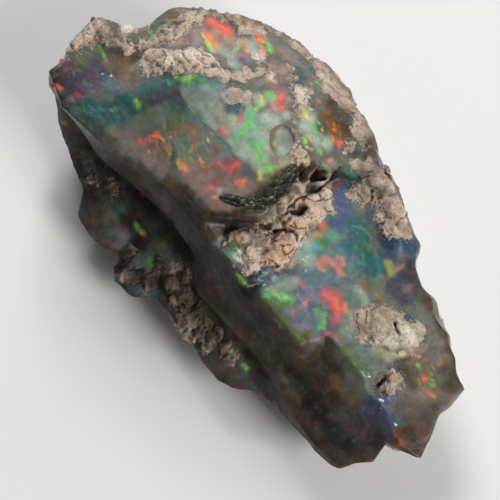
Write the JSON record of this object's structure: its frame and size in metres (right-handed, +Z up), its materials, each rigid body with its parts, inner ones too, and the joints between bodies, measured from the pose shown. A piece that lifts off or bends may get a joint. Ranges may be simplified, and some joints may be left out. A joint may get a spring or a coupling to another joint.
{
  "type": "rough opal specimen",
  "caption": "Elongated rough precious opal nodule with rhyolite crust left on it, broken glassy faces and an undercut front; display or study specimen.",
  "frame": {"origin": "on the flat break the stone rests on, under the middle of its bounding box", "axes": "+X along the stone from the thick head to the thin tail, -Y the broken undercut front, +Y the crusted back, +Z up"},
  "size_m": [0.0364, 0.0202, 0.0109],
  "materials": {
    "rough_opal": "glassy broken opal with a dull beige crust"
  },
  "bodies": {
    "root": {"rough_opal": "rough_opal"}
  },
  "joints": []
}
